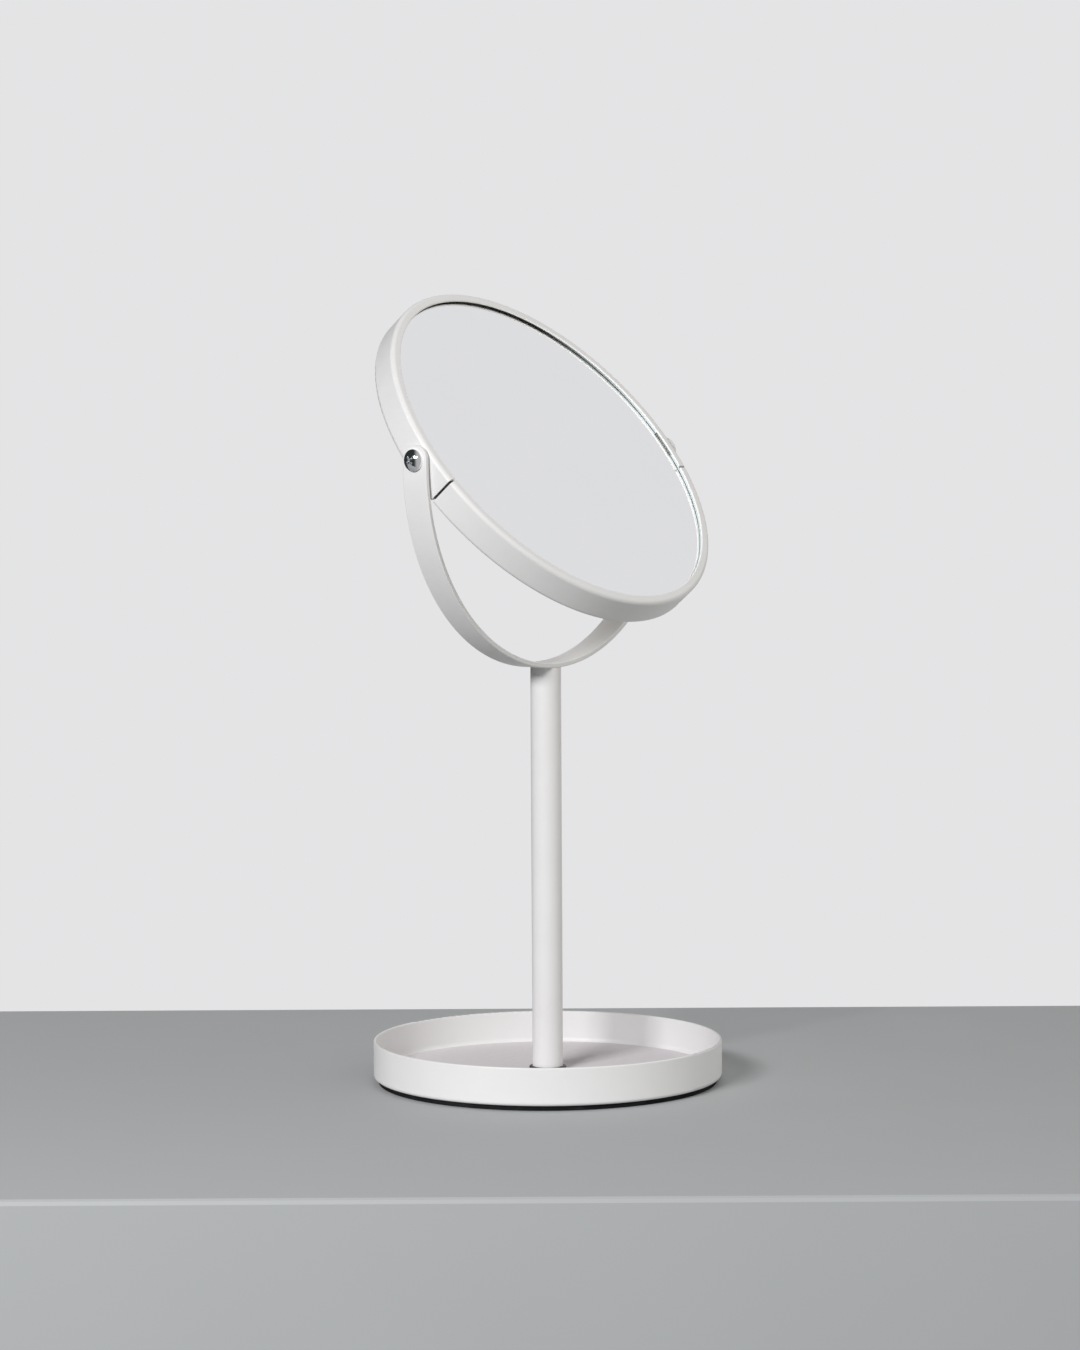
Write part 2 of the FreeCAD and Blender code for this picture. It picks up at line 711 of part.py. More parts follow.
def build_pivot_screws():
    """Pan-headed screws through the yoke's arms into the nut plates."""
    body = new_body("pivot_screws", in_head=True)
    sketch = new_sketch(body, "pivot_screws_section", "XZ_Plane")
    add_outline(
        sketch,
        corners=(
            ("pivot_screw_tip", "0"),
            ("pivot_head_top", "0"),
            ("pivot_head_edge", "pivot_head_radius"),
            ("pivot_head_seat", "pivot_head_radius"),
            ("pivot_head_seat", "pivot_screw_radius"),
            ("pivot_screw_tip", "pivot_screw_radius"),
        ),
        arcs={1: ("Y", "0", True)},
    )
    turned = revolve(body, sketch, axis="H_Axis")
    cross = new_sketch(body, "pivot_screws_cross", "YZ_Plane", offset="pivot_head_top")
    add_cross(cross, "recess_width / 2", "recess_length / 2")
    recess = pocket(body, cross, "recess_depth")
    mirror_across(body, turned, recess)


def build_friction_washers():
    """Washer between the ring and each arm."""
    body = new_body("friction_washers", in_head=True)
    sketch = new_sketch(body, "friction_washers_outline", "YZ_Plane", offset="ring_radius")
    add_circle(sketch, "washer_radius")
    add_circle(sketch, "pivot_hole_radius")
    washer = pad(body, sketch, "washer_thickness")
    mirror_across(body, washer)


def check_and_export():
    """Refuse failed features and bad shapes, then write one file per body."""
    DOC.recompute()
    for item in DOC.Objects:
        if "Invalid" in item.State or "Error" in item.State:
            raise RuntimeError(f"{item.Name} failed: {item.State}")
    bodies = [item for item in DOC.Objects if item.TypeId == "PartDesign::Body"]
    for body in bodies:
        if body.Shape.isNull() or not body.Shape.isValid() or not body.Shape.Solids:
            raise RuntimeError(f"{body.Label} has no valid solid")
    os.makedirs("parts", exist_ok=True)
    for body in bodies:
        body.Shape.exportStep(f"parts/{body.Label}.step")
        print(f"{body.Label}: {len(body.Shape.Solids)} solid(s), {body.Shape.Volume:.1f} mm3")


build_tray()
build_tray_mat()
build_foot_pad()
build_base_screw()
build_foot_spacer()
build_stem_tube()
build_stem_plugs()
build_yoke()
build_yoke_screw()
build_ring()
build_pivot_nuts()
build_ring_joiners()
build_glazing()
build_pivot_screws()
build_friction_washers()
check_and_export()
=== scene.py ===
"""Round table mirror: its finishes, its modelled screws and a plain studio.

Lengths are in metres, in the frame of the part: +Z up, origin at the centre of the foot's resting
face, tilt axis along X, plain mirror facing -Y and upwards.
"""
import json
import logging
import math
from collections.abc import Callable
from dataclasses import dataclass, field
from enum import Enum

import bpy
from mathutils import Matrix, Vector


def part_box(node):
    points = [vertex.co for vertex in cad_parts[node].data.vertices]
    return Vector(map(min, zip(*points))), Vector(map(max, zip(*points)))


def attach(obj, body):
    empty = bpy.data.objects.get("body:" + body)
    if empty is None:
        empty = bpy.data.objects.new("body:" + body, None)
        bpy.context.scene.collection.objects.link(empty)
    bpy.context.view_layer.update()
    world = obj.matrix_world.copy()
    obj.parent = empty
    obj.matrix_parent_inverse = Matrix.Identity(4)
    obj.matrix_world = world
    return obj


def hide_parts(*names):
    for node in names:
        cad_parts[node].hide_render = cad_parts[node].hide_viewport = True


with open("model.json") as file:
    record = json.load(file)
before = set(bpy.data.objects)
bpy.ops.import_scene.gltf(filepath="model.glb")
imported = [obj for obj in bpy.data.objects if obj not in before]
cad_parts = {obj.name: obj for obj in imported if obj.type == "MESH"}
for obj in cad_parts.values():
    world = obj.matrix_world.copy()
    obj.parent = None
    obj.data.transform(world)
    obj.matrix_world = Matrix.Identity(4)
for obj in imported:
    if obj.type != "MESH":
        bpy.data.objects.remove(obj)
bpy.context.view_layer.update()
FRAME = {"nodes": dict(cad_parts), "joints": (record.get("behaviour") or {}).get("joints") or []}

LOG = logging.getLogger("table_mirror")
MM = 0.001
Colour = tuple[float, float, float]
Direction = tuple[float, float, float]
Range = tuple[float, float]
Socket = bpy.types.NodeSocket


class Body(Enum):
    """Rigid bodies that pieces ride on."""

    STAND = "stand"
    MIRROR = "mirror"


class Slot(Enum):
    """Material slots of the record."""

    CHROME = "dark_chrome"
    GLASS = "mirror_glass"
    ZINC = "zinc_steel"


class Side(Enum):
    """The two ends of the tilt axis."""

    LEFT = -1
    RIGHT = 1


class GlassPart(Enum):
    """Faces of a glass, each with the number of its material."""

    FACE = 0
    EDGE = 1
    BACKING = 2


# ---------------------------------------------------------------- material building


class Graph:
    """A node tree, with the steps that materials and the world share."""

    def __init__(self, tree: bpy.types.NodeTree) -> None:
        """Take over a tree.

        Args:
            tree: The tree, with the nodes that it starts with.
        """
        self.nodes = tree.nodes
        self.links = tree.links

    def add(self, kind: str, **settings: object) -> bpy.types.Node:
        """Add a node.

        Args:
            kind: Type of the node.
            **settings: Properties to set on it.

        Returns:
            The node.
        """
        node = self.nodes.new(kind)
        for key, value in settings.items():
            setattr(node, key, value)
        return node

    def feed(self, socket: Socket, value: object) -> None:
        """Link a socket to another one, or give it a plain value.

        Args:
            socket: The socket.
            value: What feeds it.
        """
        if isinstance(value, Socket):
            self.links.new(value, socket)
        else:
            socket.default_value = value

    def feed_colour(self, socket: Socket, colour: Colour | Socket) -> None:
        """Link a colour socket to another one, or give it a plain opaque colour.

        Args:
            socket: The socket.
            colour: What feeds it.
        """
        self.feed(socket, colour if isinstance(colour, Socket) else (*colour, 1.0))

    def spread(self, value: Socket, source: Range, target: Range = (0.0, 1.0)) -> Socket:
        """Map a value from one range to another, held at both ends.

        Args:
            value: The value.
            source: Range that it comes from.
            target: Range that it is brought to.

        Returns:
            The mapped value.
        """
        node = self.add("ShaderNodeMapRange")
        self.feed(node.inputs["Value"], value)
        node.inputs["From Min"].default_value, node.inputs["From Max"].default_value = source
        node.inputs["To Min"].default_value, node.inputs["To Max"].default_value = target
        return node.outputs["Result"]

    def blend(self, factor: Socket, first: Colour | Socket, second: Colour | Socket) -> Socket:
        """Mix two colours.

        Args:
            factor: Share of the second colour.
            first: Colour at 0.
            second: Colour at 1.

        Returns:
            The mixed colour.
        """
        node = self.add("ShaderNodeMix", data_type="RGBA")
        self.feed(node.inputs["Factor"], factor)
        self.feed_colour(node.inputs["A"], first)
        self.feed_colour(node.inputs["B"], second)
        return node.outputs["Result"]


class Recipe(Graph):
    """One material's nodes, with the patterns that the finishes share."""

    def __init__(self, name: str, seat: Matrix | None = None) -> None:
        """Start a material.

        Args:
            name: Name of the material.
            seat: Place of the piece's own frame, when the pattern follows a tilted piece.
        """
        self.material = bpy.data.materials.new(name)
        self.material.use_nodes = True
        super().__init__(self.material.node_tree)
        self.surface = self.nodes["Principled BSDF"]
        self.place = self.add("ShaderNodeTexCoord").outputs["Object"]
        if seat is not None:
            self.place = self.seated(seat)

    def seated(self, seat: Matrix) -> Socket:
        """Coordinates in the frame of a tilted piece.

        Args:
            seat: Place and turn of that frame.

        Returns:
            The vector socket.
        """
        mapping = self.add("ShaderNodeMapping", vector_type="TEXTURE")
        self.feed(mapping.inputs["Vector"], self.place)
        mapping.inputs["Location"].default_value = seat.to_translation()
        mapping.inputs["Rotation"].default_value = seat.to_euler()
        return mapping.outputs["Vector"]

    def stretched(self, along: Direction) -> Socket:
        """Coordinates multiplied axis by axis, for fibres and brush marks.

        Args:
            along: Factor of each axis; a small one draws the pattern out along that axis.

        Returns:
            The vector socket.
        """
        scaled = self.add("ShaderNodeVectorMath", operation="MULTIPLY")
        self.feed(scaled.inputs[0], self.place)
        scaled.inputs[1].default_value = along
        return scaled.outputs["Vector"]

    def along(self, axis: str) -> Socket:
        """One of the three coordinates.

        Args:
            axis: Its name, such as "Y".

        Returns:
            The value socket.
        """
        split = self.add("ShaderNodeSeparateXYZ")
        self.feed(split.inputs["Vector"], self.place)
        return split.outputs[axis]

    def noise(self, size: float, detail: float = 2.0, vector: Socket | None = None) -> Socket:
        """Soft noise.

        Args:
            size: Width of one feature.
            detail: How many finer layers are added.
            vector: Coordinates, the piece's own when left out.

        Returns:
            The noise value, about 0.5 on average.
        """
        node = self.add("ShaderNodeTexNoise")
        self.feed(node.inputs["Vector"], vector or self.place)
        node.inputs["Scale"].default_value = 1 / size
        node.inputs["Detail"].default_value = detail
        return node.outputs["Fac"]

    def cells(self, size: float) -> Socket:
        """Cellular pattern.

        Args:
            size: Width of one cell.

        Returns:
            The distance value.
        """
        node = self.add("ShaderNodeTexVoronoi")
        self.feed(node.inputs["Vector"], self.place)
        node.inputs["Scale"].default_value = 1 / size
        return node.outputs["Distance"]

    def larger(self, first: Socket, second: Socket) -> Socket:
        """The larger one of two values.

        Args:
            first: One value.
            second: The other value.

        Returns:
            The value socket.
        """
        node = self.add("ShaderNodeMath", operation="MAXIMUM")
        self.feed(node.inputs[0], first)
        self.feed(node.inputs[1], second)
        return node.outputs["Value"]

    def relief(self, layers: list[tuple[Socket, float]]) -> None:
        """Raise the surface by heights.

        Args:
            layers: Height patterns, each with the depth that its full range stands for.
        """
        normal = None
        for height, depth in layers:
            bump = self.add("ShaderNodeBump")
            bump.inputs["Distance"].default_value = depth
            self.feed(bump.inputs["Height"], height)
            if normal is not None:
                self.feed(bump.inputs["Normal"], normal)
            normal = bump.outputs["Normal"]
        self.feed(self.surface.inputs["Normal"], normal)

    def settle(self, **values: object) -> None:
        """Set or link sockets of the surface shader.

        Args:
            **values: What feeds each socket, an underscore standing for a space in its name.
        """
        for key, value in values.items():
            self.feed(self.surface.inputs[key.replace("_", " ")], value)


def toned(colour: Colour, factor: float) -> Colour:
    """A colour made lighter or darker by a factor."""
    return tuple(min(1.0, part * factor) for part in colour)


def pitted(recipe: Recipe, colour: Socket, cell_size: float, cell_depth: float) -> None:
    """Give a foam its colour and the pits of its cells.

    Args:
        recipe: Its material.
        colour: Its colour.
        cell_size: Width of one cell.
        cell_depth: Depth of one cell.
    """
    cells = recipe.cells(cell_size)
    recipe.settle(
        Base_Color=colour,
        Roughness=recipe.spread(cells, (0.0, 0.8), (0.75, 0.92)),
        Specular_IOR_Level=0.15,
    )
    recipe.relief([(cells, cell_depth)])


# ---------------------------------------------------------------- finishes


@dataclass(frozen=True)
class PowderCoat:
    """Baked powder paint: a slow orange peel under a fine grain, and a slightly uneven gloss."""

    name: str
    colour: Colour = (0.835, 0.828, 0.832)
    tone_size: float = 22 * MM
    tone_step: float = 0.975
    peel_size: float = 1.7 * MM
    peel_depth: float = 0.016 * MM
    grain_size: float = 0.32 * MM
    grain_depth: float = 0.006 * MM
    gloss: Range = (0.40, 0.52)

    def make(self) -> bpy.types.Material:
        """Build the material."""
        recipe = Recipe(self.name)
        tone = recipe.spread(recipe.noise(self.tone_size, 3.0), (0.35, 0.65))
        grain = recipe.noise(self.grain_size, 3.0)
        peel = recipe.noise(self.peel_size, 1.0)
        recipe.settle(
            Base_Color=recipe.blend(tone, toned(self.colour, self.tone_step), self.colour),
            Roughness=recipe.spread(recipe.noise(2 * self.peel_size, 4.0), (0.3, 0.7), self.gloss),
            IOR=1.5,
        )
        recipe.relief([(peel, self.peel_depth), (grain, self.grain_depth)])
        return recipe.material


@dataclass(frozen=True)
class Felt:
    """Short pressed felt: matted fibres, flecked tone and a soft nap."""

    name: str
    colour: Colour = (0.690, 0.645, 0.680)
    fleck: Colour = (0.580, 0.540, 0.575)
    fibre_size: float = 0.22 * MM
    clump_size: float = 2.4 * MM
    fibre_depth: float = 0.12 * MM
    stretch: float = 0.25

    def make(self) -> bpy.types.Material:
        """Build the material."""
        recipe = Recipe(self.name)
        lengthwise = recipe.noise(
            self.fibre_size, 4.0, recipe.stretched((self.stretch, 1.0, 1.0))
        )
        crosswise = recipe.noise(
            self.fibre_size, 4.0, recipe.stretched((1.0, self.stretch, 1.0))
        )
        clumps = recipe.noise(self.clump_size, 3.0)
        flecks = recipe.spread(lengthwise, (0.55, 0.72))
        patches = recipe.spread(clumps, (0.35, 0.70), (0.0, 0.35))
        recipe.settle(
            Base_Color=recipe.blend(recipe.larger(flecks, patches), self.colour, self.fleck),
            Roughness=recipe.spread(crosswise, (0.3, 0.7), (0.88, 0.98)),
            Sheen_Weight=0.25,
            Sheen_Roughness=0.5,
        )
        recipe.relief([(layer, self.fibre_depth) for layer in (clumps, lengthwise, crosswise)])
        return recipe.material


@dataclass(frozen=True)
class Foam:
    """Closed-cell foam or soft rubber, pitted by its cells."""

    name: str
    colour: Colour = (0.020, 0.020, 0.021)
    worn: Colour = (0.050, 0.050, 0.052)
    patch_size: float = 8 * MM
    cell_size: float = 0.35 * MM
    cell_depth: float = 0.06 * MM

    def make(self) -> bpy.types.Material:
        """Build the material."""
        recipe = Recipe(self.name)
        rubbed = recipe.spread(recipe.noise(self.patch_size, 5.0), (0.45, 0.75))
        colour = recipe.blend(rubbed, self.colour, self.worn)
        pitted(recipe, colour, self.cell_size, self.cell_depth)
        return recipe.material


@dataclass(frozen=True)
class PaintedLightFoam:
    """Dark foam of a round gasket. Its lower part, which faces up, is painted pale as painted
    light, and its top stays dark as painted shade.
    """

    name: str
    seat: Matrix
    radius: float
    colour: Colour = (0.030, 0.034, 0.036)
    # Painted light: the pale colour of the gasket's lower part.
    painted_lit_colour: Colour = (0.600, 0.670, 0.690)
    painted_lit_span: Range = (0.20, 0.80)
    cell_size: float = 0.2 * MM
    cell_depth: float = 0.03 * MM

    def make(self) -> bpy.types.Material:
        """Build the material."""
        recipe = Recipe(self.name, self.seat)
        start, end = (share * self.radius for share in self.painted_lit_span)
        # Painted light and shade: pale below, fading to dark towards the top.
        painted_shade_share = recipe.spread(recipe.along("Y"), (start, end))
        colour = recipe.blend(painted_shade_share, self.painted_lit_colour, self.colour)
        pitted(recipe, colour, self.cell_size, self.cell_depth)
        return recipe.material


@dataclass(frozen=True)
class Moulded:
    """Injection-moulded nylon with a fine spark-eroded texture."""

    name: str
    colour: Colour
    gloss: Range = (0.38, 0.50)
    texture_size: float = 0.18 * MM
    texture_depth: float = 0.008 * MM
    flow_size: float = 4 * MM
    glow: float = 0.0
    glow_depth: float = 0.5 * MM

    def make(self) -> bpy.types.Material:
        """Build the material."""
        recipe = Recipe(self.name)
        texture = recipe.noise(self.texture_size, 2.0)
        flow = recipe.noise(self.flow_size, 3.0)
        recipe.settle(
            Base_Color=recipe.blend(flow, toned(self.colour, 0.9), toned(self.colour, 1.1)),
            Roughness=recipe.spread(flow, (0.3, 0.7), self.gloss),
            Subsurface_Weight=self.glow,
            Subsurface_Scale=self.glow_depth,
        )
        recipe.relief([(texture, self.texture_depth)])
        return recipe.material


@dataclass(frozen=True)
class Plating:
    """Plated steel: fine drawn marks under the plating and a cloudy, uneven polish."""

    name: str
    colour: Colour
    cloud: Colour
    gloss: Range
    mark_depth: float = 0.002 * MM
    cloud_size: float = 1.6 * MM
    mark_size: float = 0.08 * MM

    def make(self) -> bpy.types.Material:
        """Build the material."""
        recipe = Recipe(self.name)
        clouds = recipe.noise(self.cloud_size, 4.0)
        marks = recipe.noise(self.mark_size, 3.0, recipe.stretched((0.2, 1.0, 1.0)))
        recipe.settle(
            Base_Color=recipe.blend(clouds, self.colour, self.cloud),
            Metallic=1.0,
            Roughness=recipe.spread(clouds, (0.3, 0.7), self.gloss),
        )
        recipe.relief([(marks, self.mark_depth)])
        return recipe.material


@dataclass(frozen=True)
class GlassFace:
    """Polished face of a mirror's glass: a faint glint over the silver, with wiping marks."""

    name: str
    seat: Matrix
    tint: Colour = (0.950, 0.970, 0.965)
    glint: Range = (0.050, 0.062)
    haze: Range = (0.0, 0.012)
    wipe_size: float = 30 * MM

    def make(self) -> bpy.types.Material:
        """Build the material."""
        recipe = Recipe(self.name, self.seat)
        wiped = recipe.noise(self.wipe_size, 5.0, recipe.stretched((0.35, 1.0, 1.0)))
        recipe.settle(
            Base_Color=(*self.tint, 1.0),
            Metallic=1.0,
            Roughness=recipe.spread(wiped, (0.50, 0.72), self.haze),
            Alpha=recipe.spread(wiped, (0.45, 0.75), self.glint),
        )
        return recipe.material


@dataclass(frozen=True)
class GroundEdge:
    """Ground rim of the glass: blue-grey, frosted and a little chipped."""

    name: str
    seat: Matrix
    colour: Colour = (0.300, 0.375, 0.385)
    chip: Colour = (0.420, 0.490, 0.500)
    grit_size: float = 0.25 * MM
    grit_depth: float = 0.03 * MM

    def make(self) -> bpy.types.Material:
        """Build the material."""
        recipe = Recipe(self.name, self.seat)
        grit = recipe.noise(self.grit_size, 3.0)
        chips = recipe.spread(recipe.noise(6 * self.grit_size, 2.0), (0.62, 0.70))
        recipe.settle(
            Base_Color=recipe.blend(chips, self.colour, self.chip),
            Roughness=recipe.spread(grit, (0.3, 0.7), (0.45, 0.70)),
        )
        recipe.relief([(grit, self.grit_depth)])
        return recipe.material


@dataclass(frozen=True)
class BackingPaint:
    """Grey paint that protects the silver behind a glass, curtain-coated in faint streaks."""

    name: str
    seat: Matrix
    colour: Colour = (0.230, 0.240, 0.250)
    streak: Colour = (0.275, 0.285, 0.295)
    streak_size: float = 3 * MM
    streak_depth: float = 0.01 * MM

    def make(self) -> bpy.types.Material:
        """Build the material."""
        recipe = Recipe(self.name, self.seat)
        streaks = recipe.noise(self.streak_size, 3.0, recipe.stretched((0.08, 1.0, 1.0)))
        recipe.settle(
            Base_Color=recipe.blend(streaks, self.colour, self.streak),
            Roughness=recipe.spread(streaks, (0.3, 0.7), (0.55, 0.68)),
        )
        recipe.relief([(streaks, self.streak_depth)])
        return recipe.material


@dataclass(frozen=True)
class BlackenedSteelAndShade:
    """Chemical blacking on cut steel: matte, with rolling marks and a few rubbed spots. Its
    near-black colour also paints the shade in the seams between the ring's arcs.
    """

    name: str
    colour: Colour = (0.016, 0.016, 0.017)
    rubbed: Colour = (0.055, 0.054, 0.052)
    mark_size: float = 0.4 * MM
    mark_depth: float = 0.01 * MM
    spot_size: float = 1.5 * MM

    def make(self) -> bpy.types.Material:
        """Build the material."""
        recipe = Recipe(self.name)
        marks = recipe.noise(self.mark_size, 3.0, recipe.stretched((1.0, 1.0, 0.15)))
        spots = recipe.spread(recipe.noise(self.spot_size, 4.0), (0.60, 0.72))
        recipe.settle(
            Base_Color=recipe.blend(spots, self.colour, self.rubbed),
            Roughness=recipe.spread(marks, (0.3, 0.7), (0.62, 0.78)),
        )
        recipe.relief([(marks, self.mark_depth)])
        return recipe.material


@dataclass(frozen=True)
class Silvering:
    """Silver layer behind the glass, faintly clouded and dulled where it meets the rim."""

    name: str
    seat: Matrix
    radius: float
    colour: Colour = (0.985, 0.988, 0.990)
    dull: Colour = (0.940, 0.945, 0.945)
    cloud_size: float = 45 * MM
    dull_width: float = 1.5 * MM

    def make(self) -> bpy.types.Material:
        """Build the material."""
        recipe = Recipe(self.name, self.seat)
        away = recipe.add("ShaderNodeVectorMath", operation="LENGTH")
        recipe.feed(away.inputs[0], recipe.stretched((1.0, 1.0, 0.0)))
        reach = (self.radius - self.dull_width, self.radius)
        near_rim = recipe.spread(away.outputs["Value"], reach)
        clouds = recipe.spread(recipe.noise(self.cloud_size, 3.0), (0.4, 0.8), (0.0, 0.25))
        recipe.settle(
            Base_Color=recipe.blend(recipe.larger(near_rim, clouds), self.colour, self.dull),
            Metallic=1.0,
            Roughness=0.0,
        )
        return recipe.material


# ---------------------------------------------------------------- modelling helpers


class Modeller:
    """Edit-mode operations on one new piece, its faces and edges picked by place or normal."""

    def __init__(self, name: str) -> None:
        """Take over the active object under a new name.

        Args:
            name: The name.
        """
        self.piece = bpy.context.object
        self.piece.name = name
        self.piece.data.name = name

    @staticmethod
    def clear() -> None:
        """Deselect everything before a primitive is added."""
        bpy.ops.object.select_all(action="DESELECT")

    def pick_faces(self, wanted: Callable[[bpy.types.MeshPolygon], bool]) -> None:
        """Select the faces that a test accepts, and nothing else.

        Args:
            wanted: Test on a face of the mesh.
        """
        bpy.ops.object.mode_set(mode="EDIT")
        bpy.ops.mesh.select_mode(type="FACE")
        bpy.ops.mesh.select_all(action="DESELECT")
        bpy.ops.object.mode_set(mode="OBJECT")
        for face in self.piece.data.polygons:
            face.select = wanted(face)
        bpy.ops.object.mode_set(mode="EDIT")

    def top_face(self) -> None:
        """Select the highest face."""
        highest = max(face.center.z for face in self.piece.data.polygons)
        self.pick_faces(lambda face: face.center.z > highest - 1e-6)

    def bottom_face(self) -> None:
        """Select the lowest face."""
        lowest = min(face.center.z for face in self.piece.data.polygons)
        self.pick_faces(lambda face: face.center.z < lowest + 1e-6)

    @staticmethod
    def extrude(rise: float, scale: float = 1.0) -> None:
        """Extrude the selected face along Z and scale its new end.

        Args:
            rise: How far it goes up, or down when negative.
            scale: Size of the new end as a share of the old one.
        """
        bpy.ops.mesh.extrude_region_move(TRANSFORM_OT_translate={"value": (0.0, 0.0, rise)})
        bpy.ops.transform.resize(value=(scale, scale, 1.0))

    def cut(self, cutter: bpy.types.Object) -> None:
        """Take another object away from the piece and delete it.

        Args:
            cutter: The other object.
        """
        modifier = self.piece.modifiers.new("cut", "BOOLEAN")
        modifier.object = cutter
        modifier.solver = "EXACT"
        self.apply(modifier.name)
        bpy.data.objects.remove(cutter)

    def apply(self, modifier: str) -> None:
        """Apply a modifier of the piece, given by its name."""
        bpy.context.view_layer.objects.active = self.piece
        bpy.ops.object.modifier_apply(modifier=modifier)

    def soften(self, width: float, angle: float) -> None:
        """Bevel the sharp edges.

        Args:
            width: Width of the bevel.
            angle: Edges that turn by more than this, in degrees, are bevelled.
        """
        modifier = self.piece.modifiers.new("soften", "BEVEL")
        modifier.width = width
        modifier.segments = 2
        modifier.limit_method = "ANGLE"
        modifier.angle_limit = math.radians(angle)
        modifier.use_clamp_overlap = True
        self.apply(modifier.name)

    def finish(self, place: Matrix, body: Body, material: bpy.types.Material, slot: Slot) -> None:
        """Put the piece at its place in its mesh, smooth it and hang it on its body.

        Args:
            place: Where the piece's own frame stands.
            body: Body that it rides on.
            material: Its finish.
            slot: Record's slot of that finish; not used.
        """
        bpy.ops.object.mode_set(mode="OBJECT")
        self.clear()
        self.piece.select_set(True)
        bpy.context.view_layer.objects.active = self.piece
        bpy.ops.object.shade_smooth_by_angle(angle=math.radians(32))
        self.piece.data.transform(place)
        self.piece.data.materials.clear()
        self.piece.data.materials.append(material)
        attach(self.piece, body.value)
        LOG.info("%s: %d faces", self.piece.name, len(self.piece.data.polygons))


def dress(node: str, *materials: bpy.types.Material) -> None:
    """Give a solid of the frame its finish, or several that its faces choose from.

    Args:
        node: Name of the solid.
        *materials: Its finishes.
    """
    mesh = FRAME["nodes"][node].data
    mesh.materials.clear()
    for material in materials:
        mesh.materials.append(material)
    LOG.info("%s: %s", node, ", ".join(material.name for material in materials))


# ---------------------------------------------------------------- sub-assemblies


@dataclass
class Screw:
    """Machine screw along its own Z axis, head up, with its seat at the origin."""

    shank_radius: float
    pitch: float
    thread_depth: float
    facets: int = 72

    def build_shank(self, model: Modeller, reach: float) -> None:
        """Draw the threaded shank down from the underside of the head.

        Args:
            model: The screw, its head made.
            reach: Length of the shank.
        """
        core = self.shank_radius - self.thread_depth
        half = self.pitch / 2
        turns = int((reach - half) / self.pitch)
        model.bottom_face()
        widest = max(vertex.co.x for vertex in model.piece.data.vertices)
        bpy.ops.mesh.inset(thickness=widest - core)
        grown = self.shank_radius / core
        for _ in range(turns):
            Modeller.extrude(-half, grown)
            Modeller.extrude(-half, 1 / grown)
        Modeller.extrude(turns * self.pitch - reach)


@dataclass
class PivotScrews:
    """Pan-headed cross-recess screws on the tilt axis, one at each end."""

    head: Matrix
    head_radius: float = 4.4 * MM
    head_side: float = 1.1 * MM
    head_dome: float = 1.9 * MM
    dome_steps: int = 8
    recess_length: float = 5.2 * MM
    recess_width: float = 1.3 * MM
    recess_depth: float = 1.7 * MM
    recess_taper: float = 0.55
    crown_flat: float = 0.25
    edge_round: float = 0.09 * MM
    reach: float = 4.7 * MM
    screw: Screw = field(
        default_factory=lambda: Screw(
            shank_radius=2.5 * MM, pitch=0.8 * MM, thread_depth=0.45 * MM
        )
    )

    def build(self, finish: bpy.types.Material) -> None:
        """Model both screws and let them stand for the plain ones.

        Args:
            finish: Their plating.
        """
        low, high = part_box("pivot_screws")
        top = max(high.x, -low.x)
        seat = top - self.head_side - self.head_dome
        for side in Side:
            model = self.build_head(f"pivot_screw_{side.name.lower()}")
            self.screw.build_shank(model, self.reach)
            bpy.ops.object.mode_set(mode="OBJECT")
            for turn in (0.0, math.pi / 2):
                model.cut(self.build_wing(turn))
            model.soften(self.edge_round, 40.0)
            swing = Matrix.Rotation(math.pi / 2 * side.value, 4, "Y")
            place = self.head @ Matrix.Translation((side.value * seat, 0.0, 0.0)) @ swing
            model.finish(place, Body.MIRROR, finish, Slot.CHROME)
            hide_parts("pivot_screws")

    def build_head(self, name: str) -> Modeller:
        """Straight side and dome of the pan head.

        Args:
            name: Name of the piece.

        Returns:
            The piece, in edit mode.
        """
        Modeller.clear()
        bpy.ops.mesh.primitive_cylinder_add(
            vertices=self.screw.facets,
            radius=self.head_radius,
            depth=self.head_side,
            location=(0.0, 0.0, self.head_side / 2),
        )
        bpy.ops.object.transform_apply(location=True, rotation=True, scale=True)
        model = Modeller(name)
        model.top_face()
        sphere = (self.head_radius**2 + self.head_dome**2) / (2 * self.head_dome)
        radius, rise = self.head_radius, 0.0
        for step in range(1, self.dome_steps):
            reach = self.head_radius * math.cos(math.pi / 2 * step / self.dome_steps)
            height = math.sqrt(sphere**2 - reach**2) - (sphere - self.head_dome)
            Modeller.extrude(height - rise, reach / radius)
            radius, rise = reach, height
        Modeller.extrude(self.head_dome - rise, self.crown_flat)
        return model

    def build_wing(self, turn: float) -> bpy.types.Object:
        """Tapered cutter for one bar of the cross.

        Args:
            turn: Turn about the screw's axis.

        Returns:
            The cutter.
        """
        height = 2 * self.recess_depth
        top = self.head_side + self.head_dome
        Modeller.clear()
        bpy.ops.mesh.primitive_cube_add(size=1.0, location=(0.0, 0.0, top))
        wing = Modeller("wing")
        wing.piece.scale = (self.recess_length, self.recess_width, height)
        wing.piece.rotation_euler.z = turn
        bpy.ops.object.transform_apply(location=True, rotation=True, scale=True)
        wing.bottom_face()
        bpy.ops.transform.resize(value=(self.recess_taper, self.recess_taper, 1.0))
        bpy.ops.object.mode_set(mode="OBJECT")
        return wing.piece


